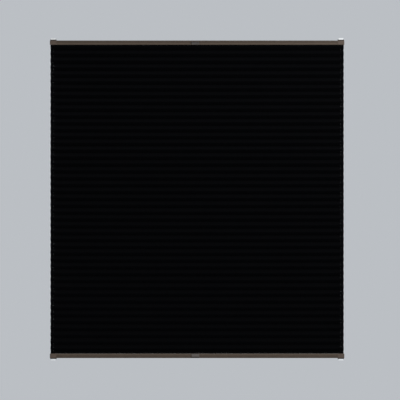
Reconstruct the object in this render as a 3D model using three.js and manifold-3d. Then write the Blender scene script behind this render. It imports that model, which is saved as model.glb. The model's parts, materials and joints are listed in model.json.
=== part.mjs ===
// Pleated window blind on four clamp brackets, 1200 x 1300 mm, closed over a window sash.
// Millimetres. +Z is up and +Y points at the window. The face of the sash is the plane y = 0,
// and the origin is the centre of the blind on that face.
import * as THREE from 'three';
import { mergeVertices } from 'three/addons/utils/BufferGeometryUtils.js';
import Module from 'manifold-3d';

const wasm = await Module();
wasm.setup();

// ---- driving dimensions -------------------------------------------------------------------

const BLIND_WIDTH = 1200; // over the end caps
const BLIND_HEIGHT = 1300; // over the tension shoes
const GAP = 0.3; // between pieces that touch or seat
const RUNNING_GAP = 0.5; // between a rail and the fixed bracket legs
const OVERCUT = 1; // how far a cut runs past the face it opens
const SIDES = { small: 12, large: 16 }; // of round holes and shanks

const RAIL = { height: 17.5, depth: 22, wall: 1.2, corner: 1.5, throat: 12, slotGap: 8, webAt: 7 };
const FRONT_GROOVE = { width: 1.4, depth: 0.8 };
const CAP = { length: 26.7, proud: 0.5, tongue: 15, corner: 2, cordInset: 14 };
const STRIP = { head: 13, headThick: 2.5, neck: 6 };
const GRIP = { width: 32, height: 12, reach: 8, root: 1.4, offset: -6.5 };

const CORD = { diameter: 1.2, hole: 3, sides: 8 };
const SPRING = { length: 60, diameter: 7, wire: 0.9, turns: 8, stepsPerTurn: 8, sides: 5 };
const KNOT_RADIUS = 1.7;
const KNOT_STEPS = { around: 8, up: 6 };

const FABRIC = { inset: 2, pitch: 28, upperShare: 1 / 3, facet: 20, thickness: 0.4, hole: 3.4 };

const SHOE = { length: 26, depth: 19, plate: 2.7, corner: 2.2, nose: 8, noseDepth: 2.5 };
const NOSE_CLEARANCE = 0.6; // round the shoe's nose in the cap
const SHOE_EAR = { thick: 1.7, depth: 8, height: 2.5 };
const KNOT_SEAT = { diameter: 5.2, depth: 4 };

const SASH_PAD = { thick: 0.7, width: 18, height: 21, fromLegEnd: 1 };
const BRACKET = { width: 20, leg: 2, legLength: 32, floor: 1.2, roof: 3, front: 1.5, corner: 3 };
const JAW = { width: 16, thick: 1.6, grip: 17, reach: 10, travel: 6, bend: 2.6, slotEnd: 2 };
const JAW_PAD = { thick: 1, width: 14, height: 8 };
const SCREW = { diameter: 2.9, head: 5.6, headThick: 1.4, socket: 2.2, sunk: 1.8, fromSash: 6 };
const SCREW_CLEARANCE = 0.35;

// ---- places that follow from them ---------------------------------------------------------

const legBack = -SASH_PAD.thick - GAP;
const legFront = legBack - BRACKET.leg;
const railBack = legFront - RUNNING_GAP;
const railFront = railBack - RAIL.depth;
const railMid = (railBack + railFront) / 2;

const shoeOuter = BLIND_HEIGHT / 2;
const shoeInner = shoeOuter - SHOE.plate;
const railOuter = shoeInner - GAP;
const railInner = railOuter - RAIL.height;

const capInner = BLIND_WIDTH / 2 - CAP.length;
const railEnd = capInner - GAP;
const cordX = BLIND_WIDTH / 2 - CAP.cordInset;

const webTop = railInner + RAIL.webAt + RAIL.wall;
const channelTop = railOuter - RAIL.wall;
const channelMid = (webTop + channelTop) / 2;
const channelFront = railFront + RAIL.wall;
const channelBack = railBack - RAIL.wall;

const bracketFloor = shoeOuter + GAP;
const tongueBottom = bracketFloor + BRACKET.floor + GAP;
const tongueTop = tongueBottom + JAW.thick;
const bracketRoof = tongueTop + GAP;
const bracketTop = bracketRoof + BRACKET.roof;
const bracketFront = railMid - SHOE.depth / 2;
const legBottom = shoeOuter - BRACKET.legLength;

const hookInner = JAW.grip + JAW_PAD.thick + GAP;
const hookOuter = hookInner + JAW.thick;
const hookBottom = tongueBottom - GAP - JAW.reach;

const knotMiddle = shoeOuter - KNOT_SEAT.depth + GAP + KNOT_RADIUS;
const cordTop = knotMiddle - KNOT_RADIUS - GAP;

// ---- finishes -----------------------------------------------------------------------------

function finish(color, roughness, metalness) {
  return new THREE.MeshStandardMaterial({ color, roughness, metalness });
}

const bronze = finish(0x4c433c, 0.42, 0.7);
const brownPlastic = finish(0x463d37, 0.55, 0);
const gripPlastic = finish(0x55504b, 0.5, 0);
const stripPlastic = finish(0x1c1b1a, 0.6, 0);
const whiteLacquer = finish(0xe4e6e8, 0.35, 0);
const steel = finish(0xa9abad, 0.3, 1);
const rubber = finish(0xb9bbbc, 0.9, 0);
const blackFabric = finish(0x070708, 0.9, 0);
const blackCord = finish(0x101011, 0.85, 0);

// ---- solids and shapes --------------------------------------------------------------------

/** A closed three.js geometry as a manifold solid. */
function solid(geometry) {
  const bare = geometry.clone();
  for (const name of Object.keys(bare.attributes)) {
    if (name !== 'position') bare.deleteAttribute(name);
  }
  const shared = mergeVertices(bare, 1e-4);
  const vertProperties = new Float32Array(shared.attributes.position.array);
  const triVerts = new Uint32Array(shared.index.array);
  return new wasm.Manifold(new wasm.Mesh({ numProp: 3, vertProperties, triVerts }));
}

/** A manifold solid as a three.js geometry. */
function geometryOf(manifold) {
  const mesh = manifold.getMesh();
  const geometry = new THREE.BufferGeometry();
  geometry.setAttribute('position', new THREE.BufferAttribute(mesh.vertProperties, 3));
  geometry.setIndex(new THREE.BufferAttribute(mesh.triVerts, 1));
  geometry.computeVertexNormals();
  return geometry;
}

/** The first solid with the others joined on. */
function join(first, ...others) {
  return others.reduce((whole, other) => whole.add(solid(other)), solid(first));
}

/** The solid without the cutters' space. */
function cut(whole, ...cutters) {
  return cutters.reduce((left, cutter) => left.subtract(solid(cutter)), whole);
}

/** A box between two corners. */
function box(x, y, z) {
  const geometry = new THREE.BoxGeometry(x[1] - x[0], y[1] - y[0], z[1] - z[0]);
  return geometry.translate((x[0] + x[1]) / 2, (y[0] + y[1]) / 2, (z[0] + z[1]) / 2);
}

/** A span of a given size about a middle. */
function about(middle, size) {
  return [middle - size / 2, middle + size / 2];
}

/** A shape drawn in (y, z), drawn out along X. */
function alongX(shape, from, to, curveSegments = 3) {
  const options = { depth: to - from, bevelEnabled: false, curveSegments };
  const turn = new THREE.Matrix4().set(0, 0, 1, from, 1, 0, 0, 0, 0, 1, 0, 0, 0, 0, 0, 1);
  return new THREE.ExtrudeGeometry(shape, options).applyMatrix4(turn);
}

/** A shape drawn in (x, z), drawn out along Y. */
function alongY(shape, from, to, curveSegments = 3) {
  const options = { depth: to - from, bevelEnabled: false, curveSegments };
  return new THREE.ExtrudeGeometry(shape, options).rotateX(Math.PI / 2).translate(0, to, 0);
}

/** An upright cylinder. */
function upright(x, y, z, diameter, sides = SIDES.small) {
  const height = z[1] - z[0];
  const geometry = new THREE.CylinderGeometry(diameter / 2, diameter / 2, height, sides);
  return geometry.rotateX(Math.PI / 2).translate(x, y, (z[0] + z[1]) / 2);
}

/** A cylinder that lies along X. */
function lyingX(x, y, z, diameter, sides = SIDES.small) {
  const length = x[1] - x[0];
  const geometry = new THREE.CylinderGeometry(diameter / 2, diameter / 2, length, sides);
  return geometry.rotateZ(Math.PI / 2).translate((x[0] + x[1]) / 2, y, z);
}

/** A rectangle with a radius for each corner: low left, low right, high right, high left. */
function rounded(x, y, [lowLeft, lowRight, highRight, highLeft]) {
  const shape = new THREE.Shape();
  shape.moveTo(x[0], y[0] + lowLeft);
  const corners = [
    [x[0], y[0], lowLeft, 1, 1, Math.PI],
    [x[1], y[0], lowRight, -1, 1, 1.5 * Math.PI],
    [x[1], y[1], highRight, -1, -1, 0],
    [x[0], y[1], highLeft, 1, -1, 0.5 * Math.PI],
  ];
  for (const [cx, cy, radius, inX, inY, start] of corners) {
    if (radius > 0) {
      const middle = [cx + inX * radius, cy + inY * radius];
      shape.absarc(middle[0], middle[1], radius, start, start + Math.PI / 2, false);
    } else {
      shape.lineTo(cx, cy);
    }
  }
  return shape;
}

function part(name, shape, material) {
  const mesh = new THREE.Mesh(shape.getMesh ? geometryOf(shape) : shape, material);
  mesh.name = name;
  return mesh;
}

// ---- one corner: the clamp that grips the sash, and the shoe that ends the cord ------------

/** The room-side bracket: a head with a channel for the jaw's tongue, and a leg on the sash. */
function clampBracket() {
  const width = about(cordX, BRACKET.width);
  const head = box(width, [bracketFront, legBack], [bracketFloor, bracketTop]);
  const legCorners = [BRACKET.corner, BRACKET.corner, 0, 0];
  const leg = alongY(rounded(width, [legBottom, bracketRoof], legCorners), legFront, legBack);
  const channelWidth = about(cordX, JAW.width + 2 * GAP);
  const channelDepth = [bracketFront + BRACKET.front, legBack + OVERCUT];
  const channel = box(channelWidth, channelDepth, [tongueBottom - GAP, bracketRoof]);
  const hole = SCREW.diameter + 2 * SCREW_CLEARANCE;
  const screwHole = upright(cordX, -SCREW.fromSash, [bracketFloor - OVERCUT, bracketTop], hole);
  const sinkZ = [bracketTop - SCREW.sunk, bracketTop + OVERCUT];
  const sink = upright(cordX, -SCREW.fromSash, sinkZ, SCREW.head + 2 * SCREW_CLEARANCE,
    SIDES.large);
  return cut(join(head, leg), channel, screwHole, sink);
}

/** The sliding jaw: a slotted tongue that bends down behind the lip of the sash. */
function clampJaw() {
  const slotHalf = SCREW.diameter / 2 + SCREW_CLEARANCE;
  const slotFront = -SCREW.fromSash - JAW.travel;
  const slotBack = -SCREW.fromSash + JAW.travel;
  const front = slotFront - slotHalf - JAW.slotEnd;
  const inner = JAW.bend - JAW.thick;
  const side = new THREE.Shape();
  side.moveTo(front, tongueBottom);
  side.absarc(hookInner - inner, tongueTop - JAW.bend, inner, Math.PI / 2, 0, true);
  side.lineTo(hookInner, hookBottom);
  side.lineTo(hookOuter, hookBottom);
  side.absarc(hookOuter - JAW.bend, tongueTop - JAW.bend, JAW.bend, 0, Math.PI / 2, false);
  side.lineTo(front, tongueTop);
  const [left, right] = about(cordX, JAW.width);
  const z = [tongueBottom - OVERCUT, tongueTop + OVERCUT];
  const slot = box([cordX - slotHalf, cordX + slotHalf], [slotFront, slotBack], z);
  const ends = [slotFront, slotBack].map((y) => upright(cordX, y, z, 2 * slotHalf));
  return cut(solid(alongX(side, left, right)), slot, ...ends);
}

/** The clamp's locking screw, with a socket in its sunk head. */
function lockScrew() {
  const headBottom = bracketTop - SCREW.sunk + GAP;
  const headTop = headBottom + SCREW.headThick;
  const shank = SCREW.diameter / 2;
  const outline = [
    [0, bracketFloor + GAP],
    [shank, bracketFloor + GAP],
    [shank, headBottom],
    [SCREW.head / 2, headBottom],
    [SCREW.head / 2, headTop],
    [SCREW.socket / 2, headTop],
    [SCREW.socket / 2, headTop - SCREW.headThick / 2],
    [0, headTop - SCREW.headThick / 2],
  ];
  const points = outline.map(([r, z]) => new THREE.Vector2(r, z));
  const screw = new THREE.LatheGeometry(points, SIDES.small);
  return screw.rotateX(Math.PI / 2).translate(cordX, -SCREW.fromSash, 0);
}

/** The shoe under the bracket that the cord ends in: a plate, a hollow nose and two ears. */
function tensionShoe() {
  const x = about(cordX, SHOE.length);
  const corners = [0, 0, SHOE.corner, SHOE.corner];
  const plate = alongY(rounded(x, [shoeInner, shoeOuter], corners), ...about(railMid, SHOE.depth));
  const noseZ = [shoeInner - SHOE.noseDepth, shoeInner + SHOE.plate / 2];
  const nose = box(about(cordX, SHOE.nose), about(railMid, SHOE.nose), noseZ);
  const earMiddle = BRACKET.width / 2 + GAP + SHOE_EAR.thick / 2;
  const earY = about(railMid, SHOE_EAR.depth);
  const earZ = [shoeOuter - SHOE.plate / 2, shoeOuter + SHOE_EAR.height];
  const ears = [-1, 1].map((side) =>
    box(about(cordX + side * earMiddle, SHOE_EAR.thick), earY, earZ));
  const seatZ = [shoeOuter - KNOT_SEAT.depth, shoeOuter + OVERCUT];
  const knotSeat = upright(cordX, railMid, seatZ, KNOT_SEAT.diameter);
  const cordHole = upright(cordX, railMid, [noseZ[0] - OVERCUT, shoeOuter], CORD.hole);
  return cut(join(plate, nose, ...ears), knotSeat, cordHole);
}

function cordKnot() {
  const knot = new THREE.SphereGeometry(KNOT_RADIUS, KNOT_STEPS.around, KNOT_STEPS.up);
  return knot.rotateX(Math.PI / 2).translate(cordX, railMid, knotMiddle);
}

function sashPad() {
  const padBottom = legBottom + SASH_PAD.fromLegEnd;
  const z = [padBottom, padBottom + SASH_PAD.height];
  return box(about(cordX, SASH_PAD.width), [-SASH_PAD.thick, 0], z);
}

function jawPad() {
  const z = about((hookBottom + tongueBottom - GAP) / 2, JAW_PAD.height);
  return box(about(cordX, JAW_PAD.width), [JAW.grip, JAW.grip + JAW_PAD.thick], z);
}

/** Every piece of one corner, built at the upper right and mirrored into its place. */
function corner(name, sideX, sideZ) {
  const group = new THREE.Group();
  group.scale.set(sideX, 1, sideZ);
  group.add(
    part(`${name}_clamp_bracket`, clampBracket(), whiteLacquer),
    part(`${name}_clamp_jaw`, clampJaw(), whiteLacquer),
    part(`${name}_lock_screw`, lockScrew(), steel),
    part(`${name}_sash_pad`, sashPad(), rubber),
    part(`${name}_jaw_pad`, jawPad(), rubber),
    part(`${name}_tension_shoe`, tensionShoe(), brownPlastic),
    part(`${name}_cord_knot`, cordKnot(), blackCord),
  );
  return group;
}

// ---- one rail: profile, caps, fabric strip, grip, spring and crossing cords -----------------

/** The rail's section: a T-slot for the fabric strip below, an open cord channel above. */
function railSection() {
  const { corner, wall, throat, slotGap } = RAIL;
  const grooveMid = webTop - wall / 2;
  const shape = new THREE.Shape();
  shape.moveTo(railMid - slotGap / 2, railInner);
  shape.absarc(railFront + corner, railInner + corner, corner, 1.5 * Math.PI, Math.PI, true);
  shape.lineTo(railFront, grooveMid - FRONT_GROOVE.width / 2);
  shape.lineTo(railFront + FRONT_GROOVE.depth, grooveMid - FRONT_GROOVE.width / 2);
  shape.lineTo(railFront + FRONT_GROOVE.depth, grooveMid + FRONT_GROOVE.width / 2);
  shape.lineTo(railFront, grooveMid + FRONT_GROOVE.width / 2);
  shape.absarc(railFront + corner, railOuter - corner, corner, Math.PI, Math.PI / 2, true);
  shape.lineTo(railMid - throat / 2, railOuter);
  shape.lineTo(railMid - throat / 2, channelTop);
  shape.lineTo(channelFront, channelTop);
  shape.lineTo(channelFront, webTop);
  shape.lineTo(channelBack, webTop);
  shape.lineTo(channelBack, channelTop);
  shape.lineTo(railMid + throat / 2, channelTop);
  shape.lineTo(railMid + throat / 2, railOuter);
  shape.absarc(railBack - corner, railOuter - corner, corner, Math.PI / 2, 0, true);
  shape.absarc(railBack - corner, railInner + corner, corner, 0, -Math.PI / 2, true);
  shape.lineTo(railMid + slotGap / 2, railInner);
  shape.lineTo(railMid + slotGap / 2, railInner + wall);
  shape.lineTo(channelBack, railInner + wall);
  shape.lineTo(channelBack, webTop - wall);
  shape.lineTo(channelFront, webTop - wall);
  shape.lineTo(channelFront, railInner + wall);
  shape.lineTo(railMid - slotGap / 2, railInner + wall);
  return shape;
}

/** The cap on a rail's end, with its tongue in the channel and the cord's way through it. */
function endCap() {
  const { corner, proud, length, tongue } = CAP;
  const outerEnd = capInner + length;
  const y = [railFront - proud, railBack];
  const z = [railInner, railOuter];
  const radii = [RAIL.corner, RAIL.corner, RAIL.corner, RAIL.corner];
  const body = solid(alongX(rounded(y, z, radii), capInner, outerEnd));
  const fromFront = rounded([capInner - OVERCUT, outerEnd], z, [0, corner, corner, 0]);
  const fromAbove = rounded([capInner - OVERCUT, outerEnd], y, [0, corner, corner, 0]);
  const above = new THREE.ExtrudeGeometry(fromAbove, { depth: RAIL.height, bevelEnabled: false,
    curveSegments: 3 });
  const block = body.intersect(solid(alongY(fromFront, ...y)))
    .intersect(solid(above.translate(0, 0, railInner)));
  const tongueY = [channelFront + GAP, channelBack - GAP];
  const tongueZ = [webTop + GAP, channelTop - GAP];
  const arm = box([capInner - tongue, capInner + OVERCUT], tongueY, tongueZ);
  const pocketSide = SHOE.nose + 2 * NOSE_CLEARANCE;
  const pocketZ = [railOuter - SHOE.noseDepth - NOSE_CLEARANCE, railOuter + OVERCUT];
  const pocket = box(about(cordX, pocketSide), about(railMid, pocketSide), pocketZ);
  const down = upright(cordX, railMid, [railInner - OVERCUT, railOuter], CORD.hole);
  const across = lyingX([capInner - tongue - OVERCUT, cordX], railMid, channelMid, CORD.hole);
  return cut(block.add(solid(arm)), pocket, down, across);
}

/** The strip in the T-slot that the last pleat is bonded to. */
function fabricStrip() {
  const headZ = [railInner + RAIL.wall + GAP, railInner + RAIL.wall + GAP + STRIP.headThick];
  const [neckFront, neckBack] = about(railMid, STRIP.neck);
  const [headFront, headBack] = about(railMid, STRIP.head);
  const shape = new THREE.Shape([
    new THREE.Vector2(neckFront, railInner - GAP),
    new THREE.Vector2(neckBack, railInner - GAP),
    new THREE.Vector2(neckBack, headZ[0]),
    new THREE.Vector2(headBack, headZ[0]),
    new THREE.Vector2(headBack, headZ[1]),
    new THREE.Vector2(headFront, headZ[1]),
    new THREE.Vector2(headFront, headZ[0]),
    new THREE.Vector2(neckFront, headZ[0]),
  ]);
  return alongX(shape, -railEnd, railEnd);
}

/** The finger grip: a hollowed wedge on the rail's front, with a rib in the front groove. */
function grip() {
  const back = railFront - GAP;
  const inner = railInner + 2 * GAP;
  const outer = inner + GRIP.height;
  const tip = railFront - GRIP.reach;
  const rib = about(webTop - RAIL.wall / 2, FRONT_GROOVE.width - 2 * GAP);
  const ribDepth = back + FRONT_GROOVE.depth - GAP;
  const shape = new THREE.Shape();
  shape.moveTo(back, outer);
  shape.lineTo(back, rib[1]);
  shape.lineTo(ribDepth, rib[1]);
  shape.lineTo(ribDepth, rib[0]);
  shape.lineTo(back, rib[0]);
  shape.lineTo(back, inner);
  shape.lineTo(back - GRIP.root, inner);
  shape.quadraticCurveTo(back - 2 * GRIP.root, outer - 3 * GRIP.root, tip, outer - GRIP.root);
  shape.lineTo(tip, outer - GRIP.root / 4);
  shape.quadraticCurveTo((back + tip) / 2, outer - GRIP.root, back, outer);
  const middle = GRIP.offset;
  return alongX(shape, middle - GRIP.width / 2, middle + GRIP.width / 2, 5);
}

/** The spring that takes up the cord, with a straight eye at each end. */
class SpringPath extends THREE.Curve {
  getPoint(t, target = new THREE.Vector3()) {
    const turn = 2 * Math.PI * SPRING.turns * t;
    const radius = (SPRING.diameter - SPRING.wire) / 2;
    const x = (t - 0.5) * (SPRING.length - SPRING.wire);
    return target.set(x, radius * Math.cos(turn), radius * Math.sin(turn));
  }
}

function tensionSpring() {
  const section = new THREE.Shape();
  section.absarc(0, 0, SPRING.wire / 2, 0, 2 * Math.PI, false);
  const steps = SPRING.turns * SPRING.stepsPerTurn;
  const ring = new THREE.Shape(section.getPoints(SPRING.sides).slice(0, SPRING.sides));
  const options = { steps, extrudePath: new SpringPath(), bevelEnabled: false };
  return new THREE.ExtrudeGeometry(ring, options).translate(0, railMid, channelMid);
}

/** A run of the crossing cord, from the cap's upright hole to the spring's end. */
function crossingCord() {
  const x = [SPRING.length / 2 + GAP, cordX - CORD.diameter / 2 - GAP];
  return lyingX(x, railMid, channelMid, CORD.diameter, CORD.sides);
}

/** Every piece of one rail, built at the top and mirrored for the bottom. */
function rail(name, sideZ) {
  const group = new THREE.Group();
  group.scale.set(1, 1, sideZ);
  group.add(
    part(`${name}_rail_profile`, alongX(railSection(), -railEnd, railEnd), bronze),
    part(`${name}_fabric_strip`, fabricStrip(), stripPlastic),
    part(`${name}_rail_grip`, grip(), gripPlastic),
    part(`${name}_tension_spring`, tensionSpring(), steel),
  );
  for (const [side, sideX] of [['left', -1], ['right', 1]]) {
    const end = new THREE.Group();
    end.scale.set(sideX, 1, 1);
    end.add(
      part(`${name}_${side}_end_cap`, endCap(), brownPlastic),
      part(`${name}_${side}_crossing_cord`, crossingCord(), blackCord),
    );
    group.add(end);
  }
  return group;
}

// ---- the fabric and the upright cords -------------------------------------------------------

const fabricTop = railInner - 2 * GAP;
const pleatCount = Math.round((2 * fabricTop) / FABRIC.pitch);
const upperCount = Math.round(pleatCount * FABRIC.upperShare);
const pleatPitch = (2 * fabricTop) / pleatCount;
const pleatReach = Math.sqrt(FABRIC.facet ** 2 - (pleatPitch / 2) ** 2);
const split = fabricTop - upperCount * pleatPitch;

/** A stretch of pleats between the middles of two facets, cut through for the two cords. */
function pleats(top, count) {
  const bottom = top - count * pleatPitch + GAP;
  const half = BLIND_WIDTH / 2 - FABRIC.inset;
  const slant = (FABRIC.thickness * 2 * FABRIC.facet) / pleatPitch;
  const steps = [0, ...Array.from({ length: 2 * count }, (_, i) => i + 0.5), 2 * count];
  const folds = steps.map((step, i) => {
    const side = i === 0 || i > 2 * count ? 0 : (-1) ** i;
    const z = THREE.MathUtils.mapLinear(step, 0, 2 * count, top, bottom);
    return [railMid + (side * pleatReach) / 2, z];
  });
  const front = folds.map(([y, z]) => new THREE.Vector2(y - slant / 2, z));
  const back = folds.map(([y, z]) => new THREE.Vector2(y + slant / 2, z)).reverse();
  const sheet = solid(alongX(new THREE.Shape([...front, ...back]), -half, half));
  const z = [bottom - OVERCUT, top + OVERCUT];
  const holes = [-cordX, cordX].map((x) =>
    box(about(x, FABRIC.hole), about(railMid, FABRIC.hole), z));
  return cut(sheet, ...holes);
}

function uprightCord(x) {
  return upright(x, railMid, [-cordTop, cordTop], CORD.diameter, CORD.sides);
}

const blind = new THREE.Group();
blind.add(
  rail('top', 1),
  rail('bottom', -1),
  part('upper_pleats', pleats(fabricTop, upperCount), blackFabric),
  part('lower_pleats', pleats(split, pleatCount - upperCount), blackFabric),
  part('left_cord', uprightCord(-cordX), blackCord),
  part('right_cord', uprightCord(cordX), blackCord),
  corner('upper_left', -1, 1),
  corner('upper_right', 1, 1),
  corner('lower_left', -1, -1),
  corner('lower_right', 1, -1),
);

export default blind;
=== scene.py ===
"""Looks of a clamp-on pleated window blind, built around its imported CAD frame.

Everything is in metres in the frame's own axes: +X to the right in the room, +Y out towards the
window and +Z up. The sash face that the blind is clamped to is the plane y = 0.
"""

from __future__ import annotations

import json
import logging
import math
from dataclasses import dataclass
from enum import Enum
from typing import Callable, Iterable, Sequence

import bmesh
import bpy
import numpy as np
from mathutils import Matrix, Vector, noise

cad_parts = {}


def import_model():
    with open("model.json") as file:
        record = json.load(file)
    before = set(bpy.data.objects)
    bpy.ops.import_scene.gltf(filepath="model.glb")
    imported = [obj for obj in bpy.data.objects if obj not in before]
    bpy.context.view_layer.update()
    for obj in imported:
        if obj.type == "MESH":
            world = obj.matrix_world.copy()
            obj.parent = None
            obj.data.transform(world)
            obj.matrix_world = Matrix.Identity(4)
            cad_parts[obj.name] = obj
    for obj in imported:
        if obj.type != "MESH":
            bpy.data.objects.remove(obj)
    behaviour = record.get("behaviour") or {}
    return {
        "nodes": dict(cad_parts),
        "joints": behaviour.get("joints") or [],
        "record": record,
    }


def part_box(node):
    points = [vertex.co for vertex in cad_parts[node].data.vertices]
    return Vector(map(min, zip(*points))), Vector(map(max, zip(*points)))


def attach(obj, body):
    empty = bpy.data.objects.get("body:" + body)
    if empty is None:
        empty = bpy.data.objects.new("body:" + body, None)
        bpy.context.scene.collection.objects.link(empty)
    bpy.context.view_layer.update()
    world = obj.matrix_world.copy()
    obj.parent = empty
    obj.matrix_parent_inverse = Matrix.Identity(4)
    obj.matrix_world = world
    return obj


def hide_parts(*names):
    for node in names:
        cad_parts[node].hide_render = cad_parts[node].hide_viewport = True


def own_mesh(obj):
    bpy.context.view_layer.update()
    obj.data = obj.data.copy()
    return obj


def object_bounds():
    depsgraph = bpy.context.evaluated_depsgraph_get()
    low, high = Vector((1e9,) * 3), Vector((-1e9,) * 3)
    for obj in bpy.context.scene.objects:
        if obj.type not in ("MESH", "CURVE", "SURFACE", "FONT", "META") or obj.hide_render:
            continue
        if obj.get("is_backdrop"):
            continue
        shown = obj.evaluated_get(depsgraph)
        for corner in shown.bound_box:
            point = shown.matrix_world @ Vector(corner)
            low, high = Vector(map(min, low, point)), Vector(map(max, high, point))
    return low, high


LOG = logging.getLogger("pleated_blind")
MM = 0.001
OVERCUT = 1 * MM  # how far a cut or a join reaches past the face that it starts at
WELD = 0.002 * MM  # points nearer to each other than this are one
WAVE_BANDS = 3.1831  # how many bands a wave texture draws to a unit, at a scale of 1

Rgb = tuple[float, float, float]
Point2 = tuple[float, float]
Point3 = tuple[float, float, float]
Span = tuple[float, float]
Corner = tuple[float, float, float]


# ---- shader maths ---------------------------------------------------------------------------


class Field:
    """A number that changes over a surface. Sums and products of it become Math nodes."""

    def __init__(self, shader: "Shader", socket: bpy.types.NodeSocket) -> None:
        """Keeps the socket.

        Args:
            shader: the shader that the socket is in.
            socket: an output socket that carries a number.
        """
        self.shader = shader
        self.socket = socket

    def _math(self, operation: str, *values: "Field | float") -> "Field":
        """One Math node on the given values, in order."""
        settings, inputs = {"operation": operation}, dict(enumerate(values))
        return Field(self.shader, self.shader.node("ShaderNodeMath", settings, inputs).outputs[0])

    def __add__(self, other: "Field | float") -> "Field":
        """self + other."""
        return self._math("ADD", self, other)

    def __sub__(self, other: "Field | float") -> "Field":
        """self - other."""
        return self._math("SUBTRACT", self, other)

    def __rsub__(self, other: "Field | float") -> "Field":
        """other - self."""
        return self._math("SUBTRACT", other, self)

    def __mul__(self, other: "Field | float") -> "Field":
        """self * other."""
        return self._math("MULTIPLY", self, other)

    __radd__ = __add__
    __rmul__ = __mul__

    def size(self) -> "Field":
        """self without its sign."""
        return self._math("ABSOLUTE", self)

    def clamped(self) -> "Field":
        """self, held between 0 and 1."""
        return self._math("MINIMUM", self._math("MAXIMUM", self, 0.0), 1.0)

    def ramp(self, low: float, high: float) -> "Field":
        """0 where self is low, 1 where it is high, and clamped outside them."""
        return ((self - low) * (1.0 / (high - low))).clamped()


class Shader:
    """One material's node tree, with a Principled surface."""

    WORN_EDGE = (0.51, 0.60)  # the pointiness at which wear starts and is full
    WORN_PATCH = (0.35, 0.65)  # the patches' own noise, in the same way
    PATCHES = (40.0, 120.0, 120.0)

    def __init__(self, name: str) -> None:
        """Starts an empty material.

        Args:
            name: the material's name.
        """
        self.material = bpy.data.materials.new(name)
        self.material.use_nodes = True
        self.tree = self.material.node_tree
        self.tree.nodes.clear()
        self.surface = self.node("ShaderNodeBsdfPrincipled")
        self.node("ShaderNodeOutputMaterial", values={"Surface": self.surface.outputs[0]})
        self.place = self.node("ShaderNodeTexCoord").outputs["Object"]

    def node(
        self, kind: str, settings: dict | None = None, values: dict | None = None
    ) -> bpy.types.Node:
        """Adds a node.

        Args:
            kind: the node's type.
            settings: its own settings, set first.
            values: what its input sockets take, by name or number.

        Returns:
            the new node.
        """
        made = self.tree.nodes.new(kind)
        for key, setting in (settings or {}).items():
            setattr(made, key, setting)
        for key, value in (values or {}).items():
            self.feed(made.inputs[key], value)
        return made

    def feed(self, target: bpy.types.NodeSocket, value: object) -> None:
        """Gives an input socket what it takes.

        Args:
            target: the input socket.
            value: a field or an output socket, which is linked, or a constant.
        """
        source = value.socket if isinstance(value, Field) else value
        if isinstance(source, bpy.types.NodeSocket):
            self.tree.links.new(source, target)
        else:
            target.default_value = (*source, 1.0) if target.type == "RGBA" else source

    def set(self, **values: object) -> None:
        """Gives the surface's sockets what they take; an underscore stands for a space."""
        for key, value in values.items():
            self.feed(self.surface.inputs[key.replace("_", " ")], value)

    def scaled(self, scale: float | Point3) -> bpy.types.NodeSocket:
        """The surface's own place, stretched for a texture to read.

        Args:
            scale: how much it is stretched, the same all round or along each axis.

        Returns:
            the stretched place.
        """
        by = scale if isinstance(scale, tuple) else (scale, scale, scale)
        values = {0: self.place, 1: by}
        return self.node("ShaderNodeVectorMath", {"operation": "MULTIPLY"}, values).outputs[0]

    def axis(self, letter: str) -> Field:
        """One coordinate of the surface's place, in metres."""
        split = self.node("ShaderNodeSeparateXYZ", values={0: self.place})
        return Field(self, split.outputs[letter])

    def speckle(self, grains: float | Point3, detail: float = 3.0) -> Field:
        """Fine noise from 0 to 1, with so many grains to a metre."""
        values = {"Vector": self.scaled(grains), "Scale": 1.0, "Detail": detail}
        return Field(self, self.node("ShaderNodeTexNoise", values=values).outputs[0])

    def threads(self, per_metre: float | Point3, direction: str) -> Field:
        """Parallel threads from 0 to 1 that repeat along one axis.

        Args:
            per_metre: how fast the surface runs through the threads, in all or along each axis.
            direction: the axis that they repeat along.

        Returns:
            the threads, as a field.
        """
        settings = {"wave_type": "BANDS", "bands_direction": direction}
        values = {"Vector": self.scaled(per_metre), "Scale": 1.0 / WAVE_BANDS}
        return Field(self, self.node("ShaderNodeTexWave", settings, values).outputs[1])

    def mixed(self, amount: Field, low: Rgb, high: Rgb) -> bpy.types.NodeSocket:
        """A colour between low and high.

        Args:
            amount: 0 for low and 1 for high.
            low: the first colour.
            high: the second colour.

        Returns:
            the mixed colour.
        """
        values = {0: amount, 6: low, 7: high}
        return self.node("ShaderNodeMix", {"data_type": "RGBA"}, values).outputs[2]

    def wear(self, amount: float) -> Field:
        """How rubbed the surface is: amount along its outer edges, fading in patches to 0. On the
        rails it is also a painted highlight along the edges.

        Args:
            amount: how rubbed the sharpest edges are.

        Returns:
            the wear, as a field.
        """
        edge = Field(self, self.node("ShaderNodeNewGeometry").outputs["Pointiness"])
        patches = self.speckle(self.PATCHES).ramp(*self.WORN_PATCH)
        return edge.ramp(*self.WORN_EDGE) * patches * amount

    def relief(self, height: Field, depth: float) -> None:
        """Bumps the surface, by depth in metres where height is 1."""
        values = {"Height": height, "Distance": depth, "Strength": 1.0}
        self.set(Normal=self.node("ShaderNodeBump", values=values).outputs[0])


def shade(colour: Rgb, share: float) -> Rgb:
    """A colour made lighter or darker by a share."""
    return tuple(channel * share for channel in colour)


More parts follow.
